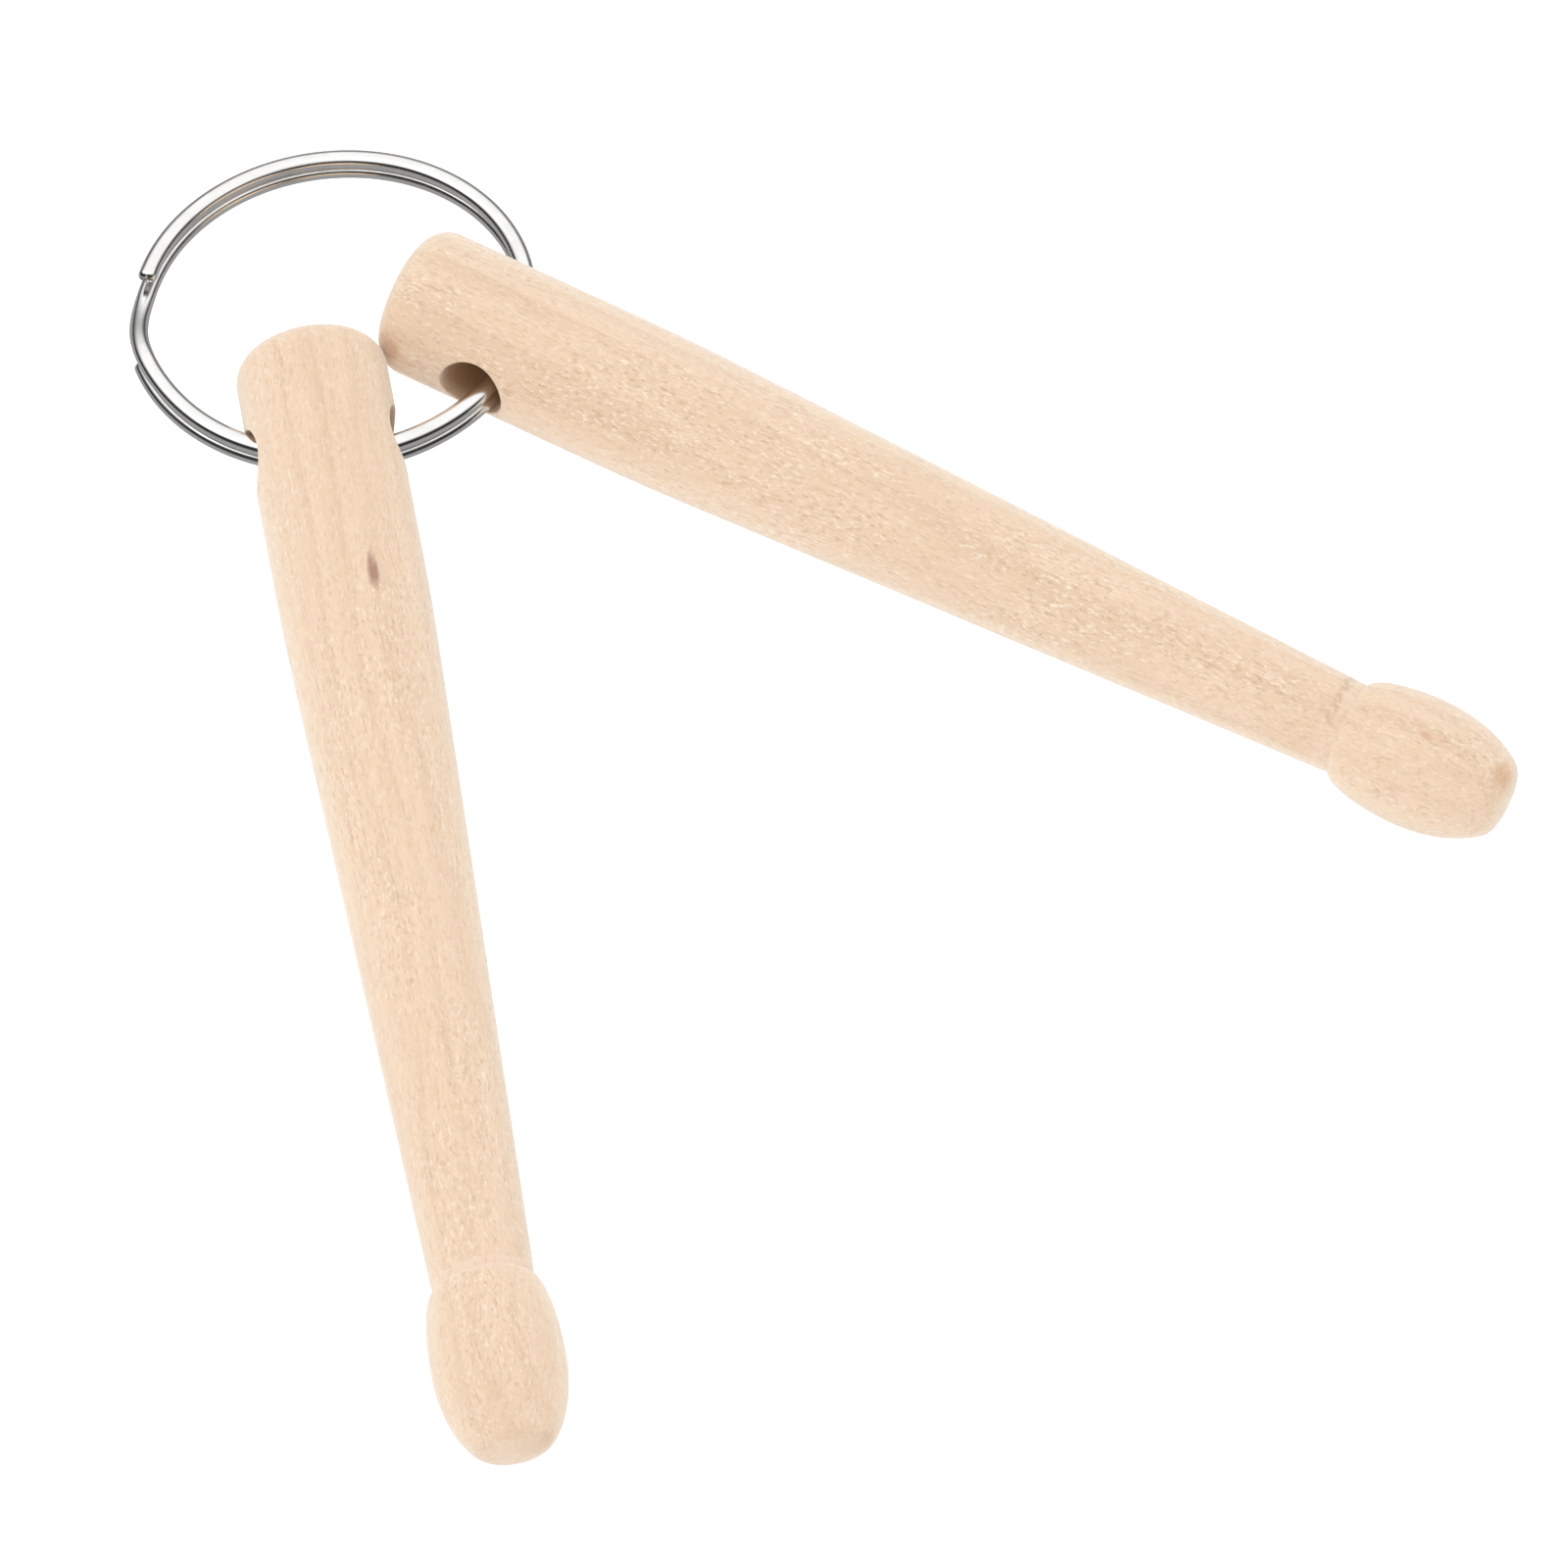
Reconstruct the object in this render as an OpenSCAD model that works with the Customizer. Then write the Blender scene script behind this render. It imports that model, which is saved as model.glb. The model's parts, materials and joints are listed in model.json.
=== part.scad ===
// A pair of miniature turned drumsticks, threaded on one split key ring.
// The origin is the centre of the ring. Everything lies on a flat surface: each
// stick rests on the end of its parallel butt and on its bead, and the ring rests
// on its low side and climbs through the holes of both sticks.

/* [Sticks] */
// Length of a stick from butt to tip
stick_length = 90.3; // [70:0.1:120]
// Diameter of the parallel butt
butt_d = 11.2; // [9:0.1:14]
// Rounding of the butt's edge
butt_round = 2.2; // [1:0.1:3]
// Length of the butt before its taper starts
butt_length = 22.5; // [16:0.5:32]
// Distance over which the butt blends into the taper
taper_blend = 2.5; // [1:0.1:8]
// Diameter of the left stick's neck, behind the bead
left_neck_d = 7.4; // [5:0.1:8.5]
// Diameter of the right stick's neck, behind the bead
right_neck_d = 6.8; // [5:0.1:8.5]
// Largest diameter of the bead
bead_d = 9.7; // [8.8:0.1:11]
// Length of the bead
bead_length = 13; // [9:0.1:18]
// Distance from the neck to the bead's largest diameter
bead_shoulder = 6.1; // [3:0.1:8]
// Diameter of the flat on the bead's tip
tip_flat_d = 5; // [2:0.1:7]
// Distance from the butt's end to the middle of the hole
hole_from_end = 8.5; // [8:0.1:12]

/* [Split ring] */
// Outer diameter of the ring
ring_d = 30; // [28:0.5:40]
// Width of the flattened wire, along the ring's radius
wire_w = 1.4; // [1:0.05:2]
// Thickness of the wire, along the ring's axis
wire_t = 1.1; // [0.8:0.01:1.4]
// Rounding of the wire's edges
wire_round = 0.35; // [0.1:0.01:0.38]
// Gap between the two coils
coil_gap = 0.05; // [0.02:0.01:0.2]
// Angle at the middle of the step from one coil to the other
step_at = 184; // [150:1:210]
// Angle taken up by the step
step_span = 30; // [20:1:40]
// Angle left open between a wire end and the step
end_gap = 2.5; // [1:0.5:6]

/* [How the pieces lie] */
// Heading of the left stick
left_heading = -79.3; // [-90:0.1:-75]
// Heading of the right stick
right_heading = -27.1; // [-33:0.1:-15]
// Direction of the ring's low side
low_side = 112; // [100:1:130]
// Gap between the two butts
stick_gap = 0.15; // [0.1:0.05:1]
// Space between the wire and the wall of a stick's hole
ring_clearance = 0.06; // [0.05:0.01:0.5]

/* [Hidden] */
wood = "burlywood";
nickel = "silver";
$fn = 96;
curve_steps = 14;
solve_steps = 20;
bead_fullness = 0.42;
shoulder_fullness = 0.6;
cut_extra = 1;

butt_r = butt_d / 2;
bead_r = bead_d / 2;
tip_r = tip_flat_d / 2;
ring_r = ring_d / 2;
ring_inner_r = ring_r - wire_w;
neck_at = stick_length - bead_length;
bead_widest_at = neck_at + bead_shoulder;
coil_pitch = wire_t + coil_gap;
stack_t = coil_pitch + wire_t;
coil_span = 360 - step_span - end_gap;

// The wire crosses a stick on a curve, and off the middle of the stick by the
// offset side. reach is how far in its inner edge has come at the hole's far end.
function reach(side) = sqrt(pow(ring_inner_r, 2) - pow(butt_r + side, 2));
function axis_distance(side) = (ring_r + reach(side)) / 2;
half_spread = (right_heading - left_heading) / 2;
// The offset that leaves stick_gap between the rounded edges of the two butts
function side_for(distance) = butt_r - butt_round
    - (distance - hole_from_end + butt_round) * tan(half_spread)
    + (butt_round + stick_gap / 2) / cos(half_spread);
function solve_side(step, side) = step == 0 ? side
    : solve_side(step - 1, side_for(axis_distance(side)));
side_offset = solve_side(solve_steps, butt_r / 2);
hole_distance = axis_distance(side_offset);
hole_radius_on_ring = norm([hole_distance, side_offset]);
hole_bearing = atan(side_offset / hole_distance);

// A stick lies on the end of its butt and on its bead, tip end lower.
rest_angle = asin((butt_r - bead_r) / (bead_widest_at - butt_length));
butt_end_height = butt_r + butt_length * sin(rest_angle);
hole_height = butt_end_height - hole_from_end * sin(rest_angle);

// The ring lies on its low side and passes the holes at the height of their middles.
left_rise = cos(left_heading - hole_bearing - low_side - 180);
right_rise = cos(right_heading + hole_bearing - low_side - 180);
ring_tilt = asin((hole_height - stack_t / 2)
    / (ring_r + hole_radius_on_ring * (left_rise + right_rise) / 2));
ring_normal = [sin(ring_tilt) * cos(low_side), sin(ring_tilt) * sin(low_side), cos(ring_tilt)];
floor_z = -((ring_r - wire_round) * sin(ring_tilt)
    + (stack_t / 2 - wire_round) * cos(ring_tilt) + wire_round);

// The hole clears the wire's corners where the curve and the slope take it furthest.
height_play = hole_radius_on_ring * sin(ring_tilt) * abs(left_rise - right_rise) / 2;
half_sweep = (ring_r - reach(side_offset)) / 2;
hole_r = norm([half_sweep - wire_round, stack_t / 2 + height_play - wire_round])
    + wire_round + ring_clearance;

// Radius of the tapered shaft: level on the butt, then a straight taper to the neck
function blend(along) = (along + sqrt(along * along + taper_blend * taper_blend)) / 2;
function shaft_r(along, neck_r) = butt_r
    - (butt_r - neck_r) * blend(along - butt_length) / blend(neck_at - butt_length);
// Radius of the bead: a quick shoulder, then a full curve down to the tip's flat
function shoulder_r(t, neck_r) = neck_r
    + (bead_r - neck_r) * pow(1 - pow(1 - t, 2), shoulder_fullness);
tip_share = sqrt(1 - pow(tip_r / bead_r, 1 / bead_fullness));
function nose_r(t) = bead_r * pow(1 - pow(t * tip_share, 2), bead_fullness);

function steps(first) = [for (i = [first:curve_steps]) i / curve_steps];
// Half outline of a stick, as [radius, distance from the butt's end]
function outline(neck_r) = concat(
    [[0, 0]],
    [for (t = steps(0)) [butt_r - butt_round + butt_round * sin(90 * t),
        butt_round - butt_round * cos(90 * t)]],
    [for (t = steps(1)) let (along = butt_round + t * (neck_at - butt_round))
        [shaft_r(along, neck_r), along]],
    [for (t = steps(1)) [shoulder_r(t, neck_r), neck_at + t * bead_shoulder]],
    [for (t = steps(1)) [nose_r(t), bead_widest_at + t * (stick_length - bead_widest_at)]],
    [[0, stick_length]]);

// One stick along +X, its hole along Y
module stick(neck_r) {
    difference() {
        rotate([0, 90, 0]) rotate_extrude() polygon(outline(neck_r));
        translate([hole_from_end, butt_r + cut_extra, 0]) rotate([90, 0, 0])
            cylinder(r = hole_r, h = butt_d + 2 * cut_extra);
    }
}

// The turn about a stick's own axis that brings its hole parallel to the ring's plane
function hole_turn(heading) = -atan((ring_normal * [-sin(heading), cos(heading), 0])
    / (ring_normal * [sin(rest_angle) * cos(heading), sin(rest_angle) * sin(heading),
        cos(rest_angle)]));

// A stick on the surface, its hole on the ring, off the ring's middle by side
module lying_stick(heading, side, neck_r) {
    rotate([0, 0, heading])
        translate([hole_distance, side, floor_z + hole_height])
        rotate([0, rest_angle, 0]) rotate([hole_turn(heading), 0, 0])
        translate([-hole_from_end, 0, 0]) stick(neck_r);
}

module left_stick() {
    color(wood) lying_stick(left_heading, -side_offset, left_neck_d / 2);
}

module right_stick() {
    color(wood) lying_stick(right_heading, side_offset, right_neck_d / 2);
}

// The wire's section: a flat bar with round edges
module wire_section() {
    for (x = [-1, 1], y = [-1, 1])
        translate([x * (wire_w / 2 - wire_round), y * (wire_t / 2 - wire_round)])
            circle(wire_round, $fn = 24);
    square([wire_w, wire_t - 2 * wire_round], center = true);
    square([wire_w - 2 * wire_round, wire_t], center = true);
}

// The wire bent round the ring's centre, from the angle first, over span
module bent_wire(first, span) {
    rotate([0, 0, first]) rotate_extrude(angle = span, $fn = 180)
        translate([ring_r - wire_w / 2, 0]) wire_section();
}

// The step leans over enough to run from the upper coil to the lower one.
module step_wire() {
    step_lap = 2;
    lean = asin(coil_pitch / (2 * (ring_r - wire_w / 2) * sin(step_span / 2)));
    rotate([0, 0, step_at]) rotate([lean, 0, 0])
        bent_wire(-step_span / 2 - step_lap / 2, step_span + step_lap);
}

module split_ring() {
    color(nickel) rotate([0, 0, low_side]) rotate([0, ring_tilt, 0]) rotate([0, 0, -low_side]) {
        translate([0, 0, coil_pitch / 2]) bent_wire(step_at + step_span / 2, coil_span);
        translate([0, 0, -coil_pitch / 2]) bent_wire(step_at - step_span / 2, -coil_span);
        step_wire();
    }
}

left_stick();
right_stick();
split_ring();
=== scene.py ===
"""A key ring with two miniature drumsticks: two turned wooden sticks on one split ring.

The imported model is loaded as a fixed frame. Each of its three solids is replaced by a
finer piece that keeps its sizes and its place: the sticks are turned and drilled
surfaces in birch, and the ring is one flattened wire wound into two coils, in
polished nickel. Lengths called MM are multiplied to metres.
"""

import json
import math

import bmesh
import bpy
from mathutils import Matrix, Vector, noise


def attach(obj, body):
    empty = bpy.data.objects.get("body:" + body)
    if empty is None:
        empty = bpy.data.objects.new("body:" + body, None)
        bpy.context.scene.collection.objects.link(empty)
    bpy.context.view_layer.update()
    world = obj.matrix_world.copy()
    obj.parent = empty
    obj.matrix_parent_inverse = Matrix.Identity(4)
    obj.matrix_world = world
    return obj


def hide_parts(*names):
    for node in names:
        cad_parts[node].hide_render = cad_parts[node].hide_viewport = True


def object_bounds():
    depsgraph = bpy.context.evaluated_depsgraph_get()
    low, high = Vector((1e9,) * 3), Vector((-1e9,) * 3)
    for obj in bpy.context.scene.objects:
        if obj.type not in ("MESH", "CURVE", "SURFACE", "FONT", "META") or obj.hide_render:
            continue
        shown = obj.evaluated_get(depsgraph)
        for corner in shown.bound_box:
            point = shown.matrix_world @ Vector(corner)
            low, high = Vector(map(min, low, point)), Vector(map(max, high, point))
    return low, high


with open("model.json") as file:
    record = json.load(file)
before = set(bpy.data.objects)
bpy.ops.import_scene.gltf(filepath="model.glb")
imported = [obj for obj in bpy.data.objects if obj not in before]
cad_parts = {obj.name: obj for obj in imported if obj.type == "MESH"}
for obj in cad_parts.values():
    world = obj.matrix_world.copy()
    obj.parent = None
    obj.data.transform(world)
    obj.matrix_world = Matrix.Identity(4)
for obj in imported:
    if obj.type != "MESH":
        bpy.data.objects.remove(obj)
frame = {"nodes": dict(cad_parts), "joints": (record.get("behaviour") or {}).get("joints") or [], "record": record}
CAD_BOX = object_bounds()

MM = 0.001

# --- The turned sticks, in millimetres along the axis from the butt's end ---------
STICK_LENGTH = 90.3
BUTT_R = 5.6
BUTT_ROUND = 2.2
BUTT_LENGTH = 22.5
TAPER_BLEND = 2.5
BEAD_R = 4.85
BEAD_LENGTH = 13.0
BEAD_SHOULDER = 6.1
TIP_FLAT_R = 2.5
TIP_FULLNESS = 0.72
GROOVE_WIDTH = 0.35
HOLE_FROM_END = 8.5
HOLE_R = 2.52
HOLE_LIP = 0.14
BEAD_WIDEST_AT = STICK_LENGTH - BEAD_LENGTH + BEAD_SHOULDER
SHOULDER_FULLNESS = 0.6
NOSE_FULLNESS = 0.42
# How fine the turned surface is made
AROUND = 96
WINDOW_TURNS = 11
WINDOW_ROWS = 22
WINDOW_HALF = 3.9
PATCH_RINGS = 7
LIP_RINGS = 5
WALL_RINGS = 22
BUTT_FACE_RINGS = 6
BUTT_EDGE_RINGS = 10
BUTT_SIDE_RINGS = 6
SHAFT_RINGS = 80
NECK_RINGS = 30
NECK_REACH = 1.5
SHOULDER_RINGS = 12
NOSE_RINGS = 22
TIP_RINGS = 18
TIP_REACH = 0.75
SLOPE_STEP = 0.05
# How far a hand-turned surface strays from the true one
UNEVEN = 0.0045
TORN_UNEVEN = 0.016
TORN_BEFORE_NECK = 0.9
TORN_SPAN = 0.5
# What differs between the two sticks
STICKS = {
    "left": {
        "neck_r": 3.7,
        "neck_at": 77.3,
        "bow": 0.0,
        "tip_soft": 0.8,
        "tip_dome": 0.22,
        "groove": 0.10,
        "tear": 0.0,
        "band": (0.55, 0.75),
        "fleck": 0.8,
        "ring_strength": 0.12,
        "ring_turn": 12.0,
        "ring_shift": 1.3,
        "seed": 3.0,
        "marks": [
            (21.9, -17.0, 2.0, 0.50, 0.75, (0.40, 0.19, 0.12, 1)),
            (90.2, -75.0, 0.6, 1.6, 0.35, (0.62, 0.38, 0.22, 1)),
        ],
    },
    "right": {
        "neck_r": 3.48,
        "neck_at": 77.8,
        "bow": -0.2,
        "tip_soft": 1.4,
        "tip_dome": 0.4,
        "groove": 0.04,
        "tear": 1.0,
        "band": (1.3, 0.35),
        "fleck": 1.0,
        "ring_strength": 0.14,
        "ring_turn": -34.0,
        "ring_shift": 0.2,
        "seed": 11.0,
        "marks": [
            (89.9, 4.0, 0.9, 1.4, 0.55, (0.70, 0.40, 0.20, 1)),
            (84.0, 12.0, 0.7, 0.35, 0.4, (0.68, 0.38, 0.22, 1)),
            # Painted shade at the butt, where this stick touches the left stick
            (1.5, 84.0, 1.5, 1.7, 0.5, (0.60, 0.34, 0.18, 1)),
        ],
    },
}

# --- The split ring, in millimetres and degrees round the ring --------------------
RING_R = 15.0
WIRE_W = 1.4
WIRE_T = 1.1
WIRE_SQUARENESS = 2.25
COIL_PITCH = 1.15
STEP_HIGH = 199.0
STEP_LOW = 170.0
HIGH_END = 528.6
LOW_END = -164.5
SPLAY = 0.26
SPLAY_SPAN = 95.0
LOW_SPLAY = 0.6
SPREAD = 0.42
SPREAD_SPAN = 60.0
BULGE = 0.26
BULGE_AT = 190.0
BULGE_SPAN = 16.0
END_ROUND = 0.42
WIRE_SIDES = 36
WIRE_STEP = 1.5

# --- The view ---------------------------------------------------------------------
CAMERA_ELEVATION = 61.541
CAMERA_ROLL = 0.478
CAMERA_DISTANCE = 0.94894
CAMERA_LENS = 300.87
CAMERA_AIM = Vector((33.471, -39.476, 0.0)) * MM
FLOOR_DROP = 100 * MM
FLOOR_HALF = 1.5
FLOOR_TONE = (0.9, 0.9, 0.9, 1)
FLOOR_MIRRORED = (0.28, 0.28, 0.28, 1)
FLOOR_GLOW = 0.35
FLOOR_GLOW_MIRRORED = 0.05
SKY = (1.0, 1.0, 1.0, 1)
SKY_MIRRORED_LOW = (0.02, 0.02, 0.021, 1)
SKY_MIRRORED_HIGH = (1.15, 1.15, 1.15, 1)
SKY_LEAN = 0.45
SKY_RAMP = (0.42, 0.90)
SOFT_BOX_PLACE = (-0.5, 0.2, 0.9)
SOFT_BOX_SIZE = 0.8
SOFT_BOX_POWER = 1.5


# --- Meshes -----------------------------------------------------------------------
def make_piece(name, vertices, faces, material):
    """A smooth-shaded mesh object; its normals are turned outwards."""
    mesh = bpy.data.meshes.new(name)
    mesh.from_pydata([tuple(v) for v in vertices], [], faces)
    work = bmesh.new()
    work.from_mesh(mesh)
    bmesh.ops.recalc_face_normals(work, faces=work.faces)
    work.to_mesh(mesh)
    work.free()
    mesh.polygons.foreach_set("use_smooth", [True] * len(mesh.polygons))
    mesh.materials.append(material)
    piece = bpy.data.objects.new(name, mesh)
    bpy.context.scene.collection.objects.link(piece)
    return piece


def steps(count, first=0):
    """Shares from 0 to 1 in equal steps."""
    return [i / count for i in range(first, count + 1)]


def blend(along):
    """A ramp that starts softly at zero."""
    return (along + math.hypot(along, TAPER_BLEND)) / 2


def turned_radius(x, neck_r, neck_at, groove):
    """Radius of the stick between the rounded butt and the tip's flat."""
    share = blend(x - BUTT_LENGTH) / blend(neck_at - BUTT_LENGTH)
    radius = BUTT_R - (BUTT_R - neck_r) * share
    if x > neck_at:
        t = min(1.0, (x - neck_at) / (BEAD_WIDEST_AT - neck_at))
        radius = neck_r + (BEAD_R - neck_r) * (1 - (1 - t) ** 2) ** SHOULDER_FULLNESS
    if x > BEAD_WIDEST_AT:
        tip_share = math.sqrt(1 - (TIP_FLAT_R / BEAD_R) ** (1 / NOSE_FULLNESS))
        t = (x - BEAD_WIDEST_AT) / (STICK_LENGTH - BEAD_WIDEST_AT)
        radius = BEAD_R * (1 - (t * tip_share) ** 2) ** NOSE_FULLNESS
    return radius - groove * math.exp(-(((x - neck_at) / GROOVE_WIDTH) ** 2))


def tip_cap(radius_at, soft, dome):
    """Rings that round the nose over into the tip: one cubic arc from its flank to the axis."""
    start = STICK_LENGTH - soft
    radius = radius_at(start)
    slope = (radius_at(start - SLOPE_STEP) - radius) / SLOPE_STEP
    reach = (STICK_LENGTH + dome - start) * TIP_REACH
    ends = [
        Vector((start, radius)),
        Vector((start + reach, radius - slope * reach)),
        Vector((STICK_LENGTH + dome, radius * TIP_FULLNESS)),
        Vector((STICK_LENGTH + dome, 0.0)),
    ]
    made = []
    for t in steps(TIP_RINGS, 1)[:-1]:
        u = 1 - t
        shares = (u**3, 3 * u * u * t, 3 * u * t * t, t**3)
        point = ends[0] * shares[0]
        for end, share in zip(ends[1:], shares[1:]):
            point = point + end * share
        made.append(tuple(point))
    return made


def turned_stations(radius_at, neck_at, soft, dome):
    """Every ring of the turned surface as (x, radius), and the hole window's rows."""
    window = (HOLE_FROM_END - WINDOW_HALF, HOLE_FROM_END + WINDOW_HALF)
    inner = BUTT_R - BUTT_ROUND
    butt = [(0.0, inner * t) for t in steps(BUTT_FACE_RINGS, 1)]
    for t in steps(BUTT_EDGE_RINGS, 1):
        turn = t * math.pi / 2
        butt.append((BUTT_ROUND * (1 - math.cos(turn)), inner + BUTT_ROUND * math.sin(turn)))
    places = [BUTT_ROUND + (window[0] - BUTT_ROUND) * t for t in steps(BUTT_SIDE_RINGS, 1)]
    first_row = len(butt) + len(places) - 1
    places += [window[0] + 2 * WINDOW_HALF * t for t in steps(WINDOW_ROWS, 1)]
    last_row = len(butt) + len(places) - 1
    groove_start = neck_at - NECK_REACH
    places += [window[1] + (groove_start - window[1]) * t for t in steps(SHAFT_RINGS, 1)]
    places += [groove_start + 2 * NECK_REACH * t for t in steps(NECK_RINGS, 1)]
    bead_start = groove_start + 2 * NECK_REACH
    places += [bead_start + (BEAD_WIDEST_AT - bead_start) * t for t in steps(SHOULDER_RINGS, 1)]
    nose = STICK_LENGTH - soft - BEAD_WIDEST_AT
    places += [BEAD_WIDEST_AT + nose * math.sin(t * math.pi / 2) for t in steps(NOSE_RINGS, 1)]
    body = [(x, radius_at(x)) for x in places]
    return butt + body + tip_cap(radius_at, soft, dome), (first_row, last_row)


def window_loop(rows, side):
    """Grid places (row, turn) round one mouth's window, in the same order for both mouths."""
    first, last = rows
    k = WINDOW_TURNS
    loop = [(first, j) for j in range(-k, k)]
    loop += [(i, k) for i in range(first, last)]
    loop += [(last, j) for j in range(k, -k, -1)]
    loop += [(i, -k) for i in range(last, first, -1)]
    if side > 0:
        return [(i, j % AROUND) for i, j in loop]
    return [(i, (AROUND // 2 - j) % AROUND) for i, j in loop]


def in_window(i, j, rows, inner):
    """Whether a grid place is in either mouth's window: a vertex, or with inner 0 a cell."""
    if not rows[0] + inner <= i < rows[1]:
        return False
    for middle in (0, AROUND // 2):
        turn = (j - middle + AROUND // 2) % AROUND - AROUND // 2
        if -WINDOW_TURNS + inner <= turn < WINDOW_TURNS:
            return True
    return False


def turned_grid(stations, rows, tip_at):
    """The turned surface with its two ends, open where the hole's two windows are."""
    vertices, faces, grid = [], [], {}
    for i, (x, radius) in enumerate(stations):
        for j in range(AROUND):
            if in_window(i, j, rows, 1):
                continue
            turn = 2 * math.pi * j / AROUND
            grid[i, j] = len(vertices)
            vertices.append(Vector((x, radius * math.cos(turn), radius * math.sin(turn))))
    for i in range(len(stations) - 1):
        for j in range(AROUND):
            if not in_window(i, j, rows, 0):
                n = (j + 1) % AROUND
                faces.append((grid[i, j], grid[i, n], grid[i + 1, n], grid[i + 1, j]))
    for i, x in ((0, 0.0), (len(stations) - 1, tip_at)):
        vertices.append(Vector((x, 0.0, 0.0)))
        middle = len(vertices) - 1
        faces += [(grid[i, j], grid[i, (j + 1) % AROUND], middle) for j in range(AROUND)]
    return vertices, faces, grid


def join(faces, ring, made):
    """Faces between two rings of as many points."""
    for a in range(len(ring)):
        b = (a + 1) % len(ring)
        faces.append((ring[a], ring[b], made[b], made[a]))


def add_ring(vertices, faces, points, ring):
    """Adds a ring of points and joins it to the ring before."""
    start = len(vertices)
    vertices.extend(points)
    made = list(range(start, len(vertices)))
    join(faces, ring, made)
    return made


def hole_mouth(vertices, faces, ring, side, radius_at):
    """Rings from a window's edge to the rounded lip of the hole; gives the last ring."""
    edge = [(vertices[v].x - HOLE_FROM_END, vertices[v].z) for v in ring]
    for t in steps(PATCH_RINGS, 1):
        points = []
        for dx, z in edge:
            reach = math.hypot(dx, z)
            share = 1 + t * ((HOLE_R + HOLE_LIP) / reach - 1)
            points.append(on_surface(dx * share, z * share, side, radius_at))
        ring = add_ring(vertices, faces, points, ring)
    for t in steps(LIP_RINGS, 1):
        turn = t * math.pi / 2
        drop = HOLE_LIP * (1 - math.cos(turn))
        points = []
        for dx, z in edge:
            share = (HOLE_R + HOLE_LIP * (1 - math.sin(turn))) / math.hypot(dx, z)
            point = on_surface(dx * share, z * share, side, radius_at)
            points.append(point - Vector((0, side * drop, 0)))
        ring = add_ring(vertices, faces, points, ring)
    return ring


def drilled_stick(stick):
    """Vertices and faces of a stick along X, its hole along Y: quads but for the two ends."""

    def radius_at(x):
        return turned_radius(x, stick["neck_r"], stick["neck_at"], stick["groove"])

    ends = stick["neck_at"], stick["tip_soft"], stick["tip_dome"]
    stations, rows = turned_stations(radius_at, *ends)
    tip_at = STICK_LENGTH + stick["tip_dome"]
    vertices, faces, grid = turned_grid(stations, rows, tip_at)
    mouths = []
    for side in (1, -1):
        ring = [grid[place] for place in window_loop(rows, side)]
        mouths.append(hole_mouth(vertices, faces, ring, side, radius_at))
    ring, far = mouths
    near_points = [vertices[v].copy() for v in ring]
    far_points = [vertices[v].copy() for v in far]
    for t in steps(WALL_RINGS, 1)[:-1]:
        points = [a.lerp(b, t) for a, b in zip(near_points, far_points)]
        ring = add_ring(vertices, faces, points, ring)
    join(faces, ring, far)
    return vertices, faces


def on_surface(dx, z, side, radius_at):
    """The point of the turned surface over (dx, z), measured from the hole's axis."""
    x = HOLE_FROM_END + dx
    return Vector((x, side * math.sqrt(radius_at(x) ** 2 - z * z), z))


def hand_turned(point, stick):
    """Moves a point as real turning and drying do: a slight bow and soft unevenness."""
    x, y, z = point
    place = Vector((x * 0.11, y * 0.3, z * 0.3 + stick["seed"]))
    uneven = 1 + UNEVEN * noise.noise(place)
    from_tear = (x - stick["neck_at"] + TORN_BEFORE_NECK) / TORN_SPAN
    rag = math.exp(-(from_tear**2)) * stick["tear"]
    fibres = noise.noise(Vector((x * 3.0, y * 2.6, z * 2.6 + stick["seed"])))
    uneven += TORN_UNEVEN * rag * fibres
    bow = stick["bow"] * (x / STICK_LENGTH) ** 2
    return Vector((x, y * uneven + bow, z * uneven)) * MM


def stick_place(side):
    """Where a stick lies: X along it from the butt's end, Y along its hole."""
    joint = next(j for j in frame["joints"] if j["name"] == side + "_swing")
    hole = Vector(joint["pos_m"])
    node = frame["nodes"][side + "_stick"]
    points = [node.matrix_world @ v.co for v in node.data.vertices]
    furthest = max((p - hole).length for p in points)
    tip_edge = [p for p in points if (p - hole).length > furthest - 0.01 * MM]
    tip = sum(tip_edge, Vector()) / len(tip_edge)
    across = -Vector(joint["axis"]).normalized()
    along = tip - hole
    along = (along - across * along.dot(across)).normalized()
    up = along.cross(across)
    place = Matrix((along, across, up)).transposed().to_4x4()
    place.translation = hole - along * HOLE_FROM_END * MM
    return place


def make_stick(side):
    """One whole stick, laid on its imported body."""
    stick = STICKS[side]
    vertices, faces = drilled_stick(stick)
    vertices = [hand_turned(v, stick) for v in vertices]
    piece = make_piece(side + "_stick_wood", vertices, faces, birch(side, stick))
    piece.matrix_world = stick_place(side)
    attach(piece, side + "_stick")
    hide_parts(side + "_stick")
    return piece


def wire_middle(angle):
    """Middle of the wire at an angle along its whole winding, in the ring's own frame."""
    drop = min(1.0, max(0.0, (STEP_HIGH - angle) / (STEP_HIGH - STEP_LOW)))
    height = COIL_PITCH * (0.5 - drop * drop * (3 - 2 * drop))
    rise = max(0.0, 1 - (HIGH_END - angle) / SPLAY_SPAN)
    sink = max(0.0, 1 - (angle - LOW_END) / SPLAY_SPAN)
    height += SPLAY * rise * rise - LOW_SPLAY * SPLAY * sink * sink
    spread = max(0.0, 1 - (angle - LOW_END) / SPREAD_SPAN)
    radius = RING_R - WIRE_W / 2 + SPREAD * spread * spread
    radius += BULGE * math.exp(-(((angle - BULGE_AT) / BULGE_SPAN) ** 2))
    turn = math.radians(angle)
    return Vector((radius * math.cos(turn), radius * math.sin(turn), height))


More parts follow.
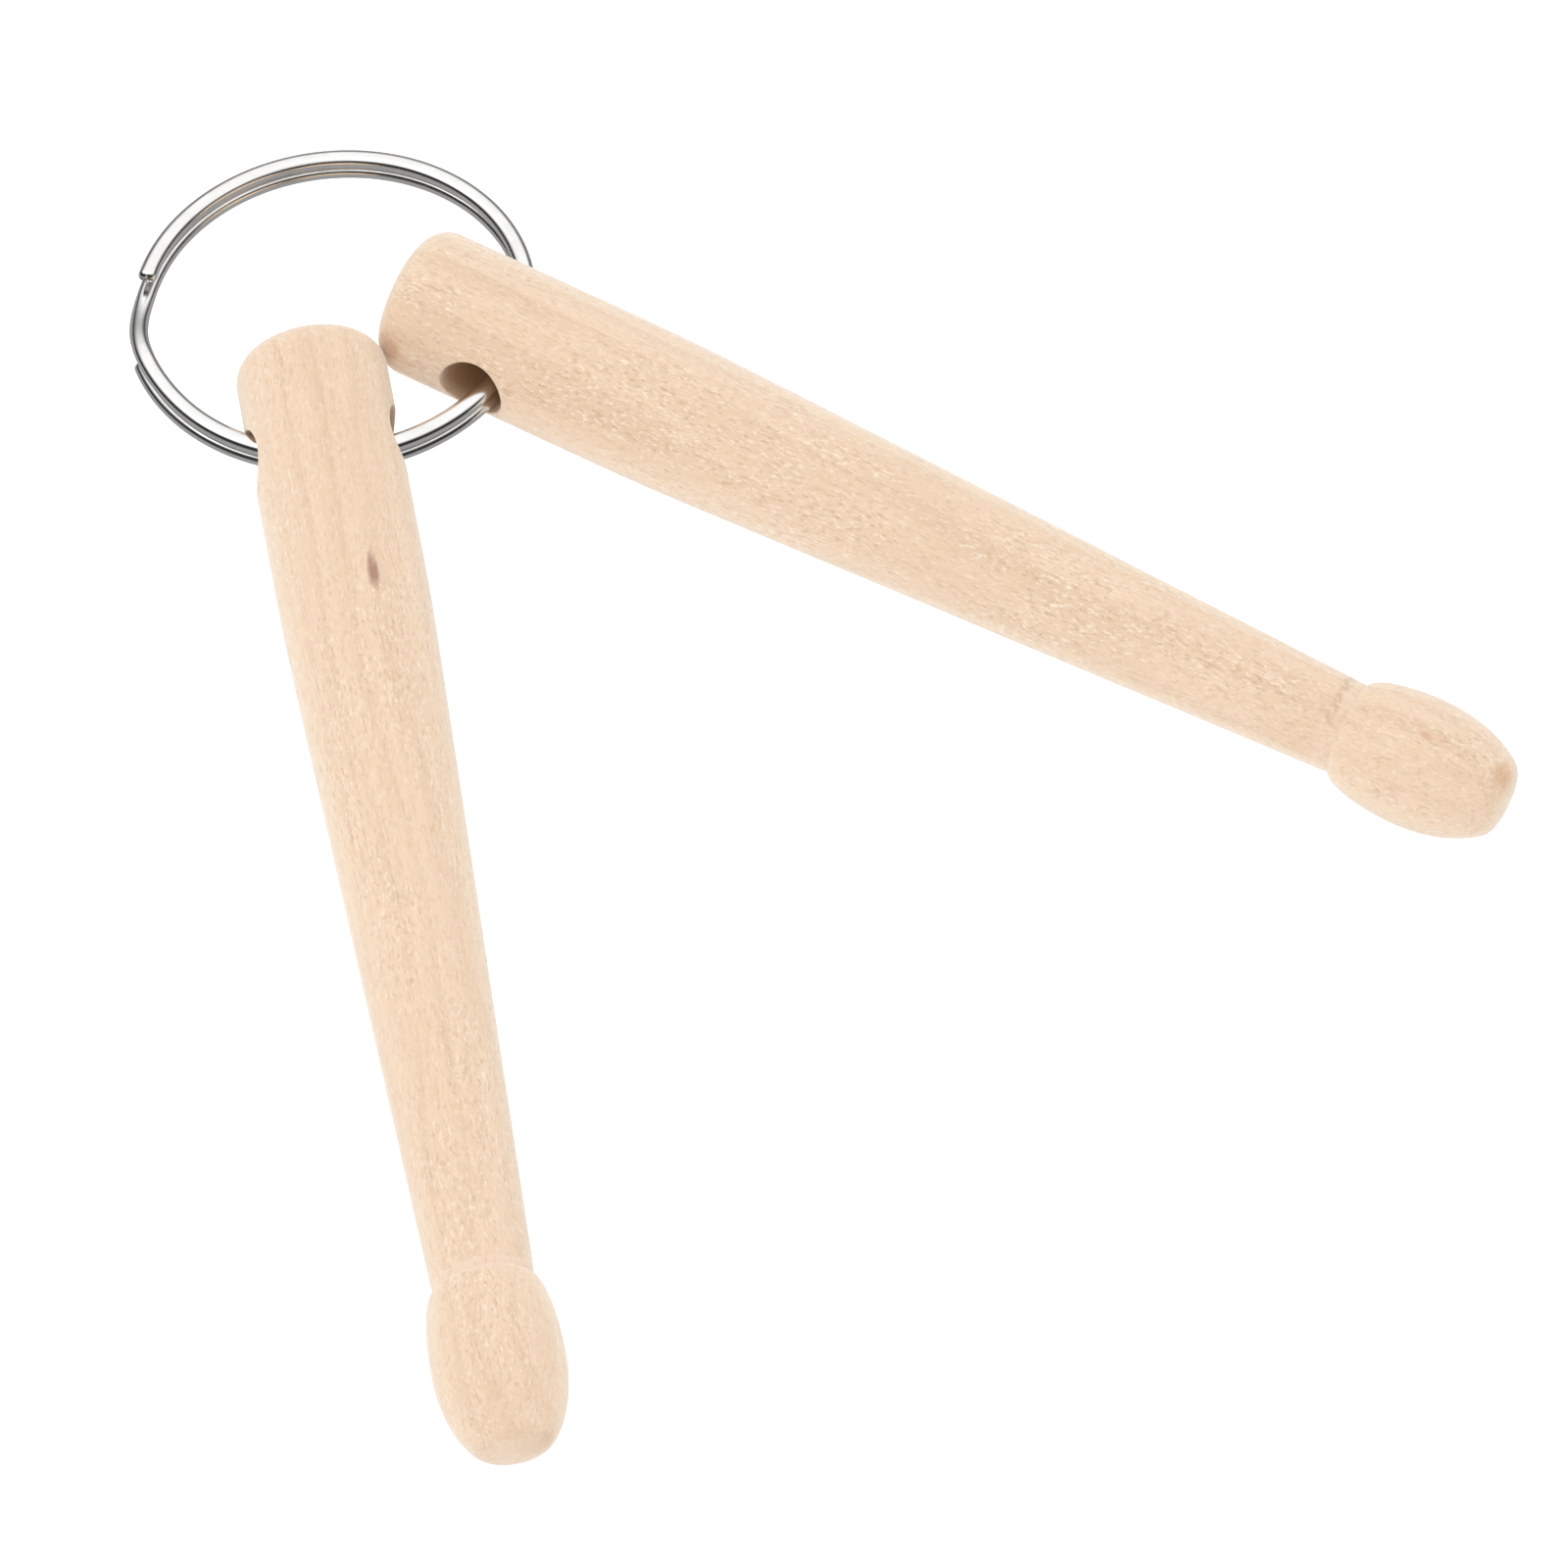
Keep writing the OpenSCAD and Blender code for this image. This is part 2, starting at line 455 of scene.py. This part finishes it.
def section_point(side, size):
    """A point of the wire's section: a flat bar with full, soft edges."""
    turn = 2 * math.pi * side / WIRE_SIDES
    power = 2 / WIRE_SQUARENESS
    c, s = math.cos(turn), math.sin(turn)
    across = math.copysign(abs(c) ** power, c) * WIRE_W / 2
    up = math.copysign(abs(s) ** power, s) * WIRE_T / 2
    inset = END_ROUND * (1 - size)
    return across - math.copysign(min(inset, abs(across)), across), (
        up - math.copysign(min(inset, abs(up)), up)
    )


def wire_stations():
    """Angles along the wire, from the upper end to the lower, with each end's rounding."""
    first, last = HIGH_END, LOW_END
    per_mm = math.degrees(1 / (RING_R - WIRE_W / 2))
    end = END_ROUND * per_mm
    made = []
    for t in steps(5):
        turn = t * math.pi / 2
        made.append((first - end * (1 - math.cos(turn)), math.sin(turn)))
    count = round((first - last - 2 * end) / WIRE_STEP)
    made += [(first - end - (first - last - 2 * end) * t, 1.0) for t in steps(count, 1)]
    for t in reversed(steps(5)[:-1]):
        turn = t * math.pi / 2
        made.append((last + end * (1 - math.cos(turn)), math.sin(turn)))
    return made


def make_ring():
    """The whole split ring as one wire."""
    mount = next(m for m in frame["record"]["mounts"] if m["name"] == "key_loop")
    normal = Vector(mount["axis"]).normalized()
    tilt = Vector((0, 0, 1)).rotation_difference(normal)
    vertices, faces = [], []
    for angle, size in wire_stations():
        middle = wire_middle(angle)
        tangent = (wire_middle(angle - 0.5) - wire_middle(angle + 0.5)).normalized()
        out = Vector((middle.x, middle.y, 0)).normalized()
        up = out.cross(tangent).normalized()
        up = up if up.z > 0 else -up
        for side in range(WIRE_SIDES):
            across, high = section_point(side, size)
            vertices.append((middle + out * across + up * high) * MM)
    rings = len(vertices) // WIRE_SIDES
    for i in range(rings - 1):
        for j in range(WIRE_SIDES):
            n = (j + 1) % WIRE_SIDES
            a, b = i * WIRE_SIDES, (i + 1) * WIRE_SIDES
            faces.append((a + j, a + n, b + n, b + j))
    for start in (0, (rings - 1) * WIRE_SIDES):
        end = vertices[start : start + WIRE_SIDES]
        vertices.append(sum(end, Vector()) / WIRE_SIDES)
        for j in range(WIRE_SIDES):
            faces.append((start + j, start + (j + 1) % WIRE_SIDES, len(vertices) - 1))
    piece = make_piece("ring_wire", vertices, faces, nickel())
    piece.matrix_world = Matrix.Translation(Vector(mount["pos_m"])) @ tilt.to_matrix().to_4x4()
    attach(piece, "ring")
    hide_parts("split_ring")
    return piece


# --- Materials --------------------------------------------------------------------
class Nodes:
    """A short way to write a node tree: each call adds a node and gives its output."""

    def __init__(self, tree):
        self.tree = tree

    def add(self, kind, inputs=(), out=0, **settings):
        node = self.tree.nodes.new(kind)
        for key, value in settings.items():
            setattr(node, key, value)
        for key, value in dict(inputs).items():
            if isinstance(value, bpy.types.NodeSocket):
                self.tree.links.new(value, node.inputs[key])
            else:
                node.inputs[key].default_value = value
        return node.outputs[out]

    def math(self, operation, a, b=0.0, c=0.0):
        return self.add("ShaderNodeMath", {0: a, 1: b, 2: c}, operation=operation)

    def smooth(self, value, low, high):
        """0 below low and 1 above high, or the other way round, with a soft passage."""
        return self.add(
            "ShaderNodeMapRange",
            {"Value": value, "From Min": low, "From Max": high},
            interpolation_type="SMOOTHSTEP",
        )

    def stretch(self, vector, scale, shift=(0, 0, 0)):
        return self.add("ShaderNodeMapping", {"Vector": vector, "Scale": scale, "Location": shift})

    def noise(self, vector, scale=1.0, detail=2.0, roughness=0.5):
        values = {"Vector": vector, "Scale": scale, "Detail": detail, "Roughness": roughness}
        return self.add("ShaderNodeTexNoise", values)

    def mix(self, factor, a, b, blend_type="MIX"):
        node = self.tree.nodes.new("ShaderNodeMix")
        node.data_type = "RGBA"
        node.blend_type = blend_type
        for key, value in ((0, factor), (6, a), (7, b)):
            if isinstance(value, bpy.types.NodeSocket):
                self.tree.links.new(value, node.inputs[key])
            else:
                node.inputs[key].default_value = value
        return node.outputs[2]


def new_material(name):
    """A material, its node helper and its main shader."""
    material = bpy.data.materials.new(name)
    material.use_nodes = True
    shader = material.node_tree.nodes["Principled BSDF"]
    return material, Nodes(material.node_tree), shader


PALE = (0.885, 0.715, 0.545, 1)
TAN = (0.81, 0.62, 0.45, 1)
LATE_WOOD = (0.63, 0.42, 0.25, 1)
FIBRE_LIGHT = (0.97, 0.87, 0.74, 1)
FIBRE_DARK = (0.66, 0.46, 0.29, 1)
END_GRAIN = (0.76, 0.57, 0.40, 1)
CUT_BAND = (0.92, 0.77, 0.64, 1)
# Painted shade drawn on the wall of the drilled hole
HOLE_SHADE = (0.52, 0.30, 0.15, 1)
# Waves per millimetre of each layer of the wood, along the stick and across it
GRAIN = {
    "wander": (0.03, 0.12, 0.12),
    "streaks": (0.035, 0.8, 0.8),
    "patches": (0.08, 0.25, 0.25),
    "light": (1.9, 5.0, 5.0),
    "dark": (1.6, 4.2, 4.2),
    "vessels": (0.45, 9, 9),
}
# How strongly each layer of the wood shows
TAN_SHARE = 0.45
LIGHT_SHARE = 0.9
DARK_SHARE = 0.62
VESSEL_SHARE = 0.25
TORN_SHARE = 0.6
LINES_PER_MM = 0.42
LINE_WANDER = 5.0
WOOD_BUMP = 0.6
WOOD_RELIEF = 0.03 * MM
WOOD_SHADER = {
    "Specular IOR Level": 0.35,
    "Diffuse Roughness": 1.0,
    "Sheen Weight": 0.6,
    "Sheen Roughness": 0.4,
}


def growth_lines(n, mm, y, z, shift, stick):
    """Where the late wood of each year shows, as lines that wander along the stick."""
    wander = n.noise(n.stretch(mm, GRAIN["wander"], shift), detail=2)
    turn = math.radians(stick["ring_turn"])
    level = n.math("MULTIPLY_ADD", y, math.cos(turn), n.math("MULTIPLY", z, math.sin(turn)))
    level = n.math("MULTIPLY_ADD", wander, LINE_WANDER, level)
    level = n.math("ADD", n.math("MULTIPLY", level, LINES_PER_MM), stick["ring_shift"])
    cycle = n.math("FRACT", level)
    line = n.math("MULTIPLY", n.smooth(cycle, 0.55, 0.97), n.smooth(cycle, 1.0, 0.97))
    return n.math("MULTIPLY", line, stick["ring_strength"])


def fibres(n, mm, shift, fleck):
    """Short light fibres, short dark fibres, long fine vessels, and how patchy they are."""
    patches = n.noise(n.stretch(mm, GRAIN["patches"], shift), detail=2)
    patches = n.math("MULTIPLY_ADD", n.smooth(patches, 0.4, 0.6), 0.5, 0.6)
    patches = n.math("MULTIPLY", patches, fleck)
    light = n.noise(n.stretch(mm, GRAIN["light"], shift), detail=3, roughness=0.65)
    dark = n.noise(n.stretch(mm, GRAIN["dark"], (7, 3, 5)), detail=3, roughness=0.65)
    vessels = n.noise(n.stretch(mm, GRAIN["vessels"], (2, 9, 4)), detail=1)
    light, dark = n.smooth(light, 0.50, 0.68), n.smooth(dark, 0.50, 0.70)
    return light, dark, n.smooth(vessels, 0.64, 0.74), patches


def end_face(n, mm):
    """The stick's two cut ends, where the grain is met head on."""
    normal = split(n, n.add("ShaderNodeTexCoord", out=1))[0]
    end = n.smooth(n.math("ABSOLUTE", normal), 0.55, 0.98)
    specks = n.smooth(n.noise(mm, scale=5.0, detail=2), 0.35, 0.7)
    return n.math("MULTIPLY", end, n.math("MULTIPLY_ADD", specks, 0.35, 0.12))


def wood_relief(n, light, dark, vessels, torn):
    """Fine bumps: light fibres stand up; dark ones, vessels and tears lie deeper."""
    height = n.math("MULTIPLY_ADD", light, 0.5, n.math("MULTIPLY", dark, -0.6))
    height = n.math("MULTIPLY_ADD", vessels, -0.8, height)
    height = n.math("MULTIPLY_ADD", torn, -2.0, height)
    values = {"Height": height, "Strength": WOOD_BUMP, "Distance": WOOD_RELIEF}
    return n.add("ShaderNodeBump", values)


def birch(side, stick):
    """Bare sanded birch: long faint streaks, growth lines, short bright and dark fibres."""
    material, n, shader = new_material("birch_" + side)
    shift = (stick["seed"], stick["seed"] * 2.3, 0)
    mm = n.stretch(n.add("ShaderNodeTexCoord", out=3), (1000, 1000, 1000))
    x, y, z = split(n, mm)
    away = n.math("SQRT", n.math("ADD", n.math("MULTIPLY", y, y), n.math("MULTIPLY", z, z)))
    streaks = n.noise(n.stretch(mm, GRAIN["streaks"], shift), detail=4, roughness=0.6)
    tan = n.math("MULTIPLY", n.smooth(streaks, 0.35, 0.68), TAN_SHARE)
    colour = n.mix(tan, PALE, TAN)
    colour = n.mix(growth_lines(n, mm, y, z, shift, stick), colour, LATE_WOOD)

    light, dark, vessels, patches = fibres(n, mm, shift, stick["fleck"])
    light_share = n.math("MULTIPLY", light, n.math("MULTIPLY", patches, LIGHT_SHARE))
    colour = n.mix(light_share, colour, FIBRE_LIGHT)
    dark_share = n.math("MULTIPLY", dark, n.math("MULTIPLY", patches, DARK_SHARE))
    colour = n.mix(dark_share, colour, FIBRE_DARK)
    colour = n.mix(n.math("MULTIPLY", vessels, VESSEL_SHARE), colour, FIBRE_DARK)
    colour = n.mix(end_face(n, mm), colour, END_GRAIN)

    cut = n.math("MULTIPLY", neck_band(n, x, stick), n.math("MULTIPLY_ADD", dark, -0.7, 1.0))
    colour = n.mix(cut, colour, CUT_BAND)
    torn = torn_fibres(n, mm, x, y, stick)
    colour = n.mix(n.math("MULTIPLY", torn, TORN_SHARE), colour, FIBRE_DARK)
    # Painted shade on the wall of the drilled hole
    colour = n.mix(painted_hole_shade(n, x, z, away), colour, HOLE_SHADE)
    # Knots and stains, and at the right stick's butt a patch of painted shade
    for *place, tint in stick["marks"]:
        colour = n.mix(mark(n, mm, x, y, z, *place), colour, tint)

    rough = n.math("MULTIPLY_ADD", light, -0.1, n.math("MULTIPLY_ADD", streaks, 0.15, 0.5))
    bump = wood_relief(n, light, dark, vessels, torn)
    n.tree.links.new(colour, shader.inputs["Base Color"])
    n.tree.links.new(rough, shader.inputs["Roughness"])
    n.tree.links.new(bump, shader.inputs["Normal"])
    for name, value in WOOD_SHADER.items():
        shader.inputs[name].default_value = value
    return material


def split(n, vector):
    """The three parts of a vector."""
    node = n.tree.nodes.new("ShaderNodeSeparateXYZ")
    n.tree.links.new(vector, node.inputs[0])
    return node.outputs[0], node.outputs[1], node.outputs[2]


def neck_band(n, x, stick):
    """The pale, freshly cut band where the tool parted the bead from the shaft."""
    neck_at = stick["neck_at"]
    width, strength = stick["band"]
    start = n.smooth(x, neck_at - width - 0.2, neck_at - width + 0.1)
    band = n.math("MULTIPLY", start, n.smooth(x, neck_at + 0.2, neck_at))
    return n.math("MULTIPLY", band, strength)


def torn_fibres(n, mm, x, y, stick):
    """Fibres torn out along the groove, on the upper side of the neck."""
    middle = stick["neck_at"] - 1.05
    wavy = n.math("MULTIPLY_ADD", n.noise(n.stretch(mm, (0.6, 0.9, 0.9)), detail=3), 0.9, x)
    off = n.math("ABSOLUTE", n.math("SUBTRACT", wavy, middle + 0.45))
    line = n.smooth(off, 0.44, 0.10)
    rag = n.smooth(n.noise(n.stretch(mm, (2.4, 2.6, 2.6)), detail=4, roughness=0.7), 0.42, 0.58)
    line = n.math("MULTIPLY", n.math("MULTIPLY", line, rag), n.smooth(y, -2.8, -1.8))
    return n.math("MULTIPLY", line, stick["tear"])


def painted_hole_shade(n, x, z, away):
    """Painted shade on the wall of the drilled hole: darker and orange-brown there."""
    dx = n.math("SUBTRACT", x, HOLE_FROM_END)
    reach = n.math("SQRT", n.math("ADD", n.math("MULTIPLY", dx, dx), n.math("MULTIPLY", z, z)))
    wall = n.smooth(reach, HOLE_R + 0.12, HOLE_R + 0.01)
    return n.math("MULTIPLY", wall, n.smooth(away, BUTT_R + 0.6, BUTT_R - 1.4))


def mark(n, mm, x, y, z, along, turn, length, width, strength):
    """An uneven patch drawn out along the grain, on one side of the stick: knots, stains, and the painted shade
    where the right stick's butt touches the left.
    """
    turn = math.radians(turn)
    across = n.math("MULTIPLY_ADD", y, math.cos(turn), n.math("MULTIPLY", z, math.sin(turn)))
    above = n.math("MULTIPLY_ADD", z, math.cos(turn), n.math("MULTIPLY", y, -math.sin(turn)))
    dx = n.math("DIVIDE", n.math("SUBTRACT", x, along), length)
    dy = n.math("DIVIDE", across, width)
    reach = n.math("SQRT", n.math("ADD", n.math("MULTIPLY", dx, dx), n.math("MULTIPLY", dy, dy)))
    uneven = n.noise(n.stretch(mm, (1.2, 2.5, 2.5)), detail=3)
    reach = n.math("MULTIPLY_ADD", n.math("SUBTRACT", uneven, 0.5), 1.2, reach)
    patch = n.math("MULTIPLY", n.smooth(reach, 1.1, 0.2), n.smooth(above, 0.0, 1.0))
    return n.math("MULTIPLY", patch, strength)


def nickel():
    """Polished nickel plate with rubbed patches and hairline scratches."""
    material, n, shader = new_material("nickel_plate")
    mm = n.stretch(n.add("ShaderNodeTexCoord", out=3), (1000, 1000, 1000))
    cloud = n.noise(mm, scale=0.5, detail=3)
    hairs = n.noise(n.stretch(mm, (2.0, 2.0, 14.0)), detail=4, roughness=0.7)
    colour = n.mix(n.smooth(cloud, 0.3, 0.7), (0.86, 0.855, 0.84, 1), (0.80, 0.795, 0.78, 1))
    rough = n.math("MULTIPLY_ADD", hairs, 0.10, n.math("MULTIPLY_ADD", cloud, 0.14, 0.04))
    bump = n.add("ShaderNodeBump", {"Height": hairs, "Strength": 0.06, "Distance": 0.01 * MM})
    n.tree.links.new(colour, shader.inputs["Base Color"])
    n.tree.links.new(rough, shader.inputs["Roughness"])
    n.tree.links.new(bump, shader.inputs["Normal"])
    shader.inputs["Metallic"].default_value = 1.0
    return material


# --- Camera, floor and light ------------------------------------------------------
def make_camera():
    """Looks along +Y from above, turned a little about its own axis."""
    elevation, roll = math.radians(CAMERA_ELEVATION), math.radians(CAMERA_ROLL)
    right = Vector((1, 0, 0))
    forward = Vector((0, math.cos(elevation), -math.sin(elevation)))
    up = right.cross(forward)
    x_axis = right * math.cos(roll) + up * math.sin(roll)
    y_axis = up * math.cos(roll) - right * math.sin(roll)
    camera = bpy.data.objects.new("camera", bpy.data.cameras.new("camera"))
    camera.data.lens = CAMERA_LENS
    camera.data.sensor_width = 36.0
    camera.data.clip_start = 0.01
    camera.data.clip_end = 20.0
    turn = Matrix((x_axis, y_axis, -forward)).transposed().to_4x4()
    turn.translation = CAMERA_AIM - forward * CAMERA_DISTANCE
    camera.matrix_world = turn
    bpy.context.scene.collection.objects.link(camera)
    bpy.context.scene.camera = camera


def make_floor():
    """A plain pale floor, below the reach of the hanging sticks; reflections see it darker."""
    lo, hi = CAD_BOX
    middle = (lo + hi) / 2
    half = FLOOR_HALF
    corners = [(-half, -half), (half, -half), (half, half), (-half, half)]
    mesh = bpy.data.meshes.new("floor")
    level = lo.z - FLOOR_DROP
    mesh.from_pydata([(middle.x + a, middle.y + b, level) for a, b in corners], [], [(0, 1, 2, 3)])
    material, n, shader = new_material("white_table")
    glossy = n.add("ShaderNodeLightPath", out="Is Glossy Ray")
    tone = n.mix(glossy, FLOOR_TONE, FLOOR_MIRRORED)
    n.tree.links.new(tone, shader.inputs["Base Color"])
    shader.inputs["Roughness"].default_value = 0.7
    shader.inputs["Emission Color"].default_value = (1, 1, 1, 1)
    glow = n.math("MULTIPLY_ADD", glossy, FLOOR_GLOW_MIRRORED - FLOOR_GLOW, FLOOR_GLOW)
    n.tree.links.new(glow, shader.inputs["Emission Strength"])
    mesh.materials.append(material)
    floor = bpy.data.objects.new("floor", mesh)
    bpy.context.scene.collection.objects.link(floor)


def make_light(name, place, size, power):
    """A square soft box that faces the middle of the object."""
    light = bpy.data.lights.new(name, "AREA")
    light.size = size
    light.energy = power
    lamp = bpy.data.objects.new(name, light)
    middle = (CAD_BOX[0] + CAD_BOX[1]) / 2
    lamp.location = middle + Vector(place)
    lamp.rotation_mode = "QUATERNION"
    lamp.rotation_quaternion = Vector(place).to_track_quat("Z", "Y")
    bpy.context.scene.collection.objects.link(lamp)


def make_lights():
    """Even white light all round and one soft box.

    Reflections alone see another studio, dark below and white above, so that the
    nickel shows bands. The wood is lit by the white one.
    """
    world = bpy.data.worlds.new("studio")
    bpy.context.scene.world = world
    world.use_nodes = True
    n = Nodes(world.node_tree)
    background = world.node_tree.nodes["Background"]
    _, deep, height = split(n, n.add("ShaderNodeTexCoord", out=0))
    level = n.math("MULTIPLY_ADD", deep, SKY_LEAN, height)
    sky = n.smooth(level, *SKY_RAMP)
    mirrored = n.mix(sky, SKY_MIRRORED_LOW, SKY_MIRRORED_HIGH)
    glossy = n.add("ShaderNodeLightPath", out="Is Glossy Ray")
    colour = n.mix(glossy, SKY, mirrored)
    world.node_tree.links.new(colour, background.inputs["Color"])
    background.inputs["Strength"].default_value = 1.0
    make_light("soft_box", SOFT_BOX_PLACE, SOFT_BOX_SIZE, SOFT_BOX_POWER)


bpy.context.scene.view_settings.view_transform = "Standard"
make_camera()
make_floor()
make_lights()
for side in STICKS:
    make_stick(side)
make_ring()
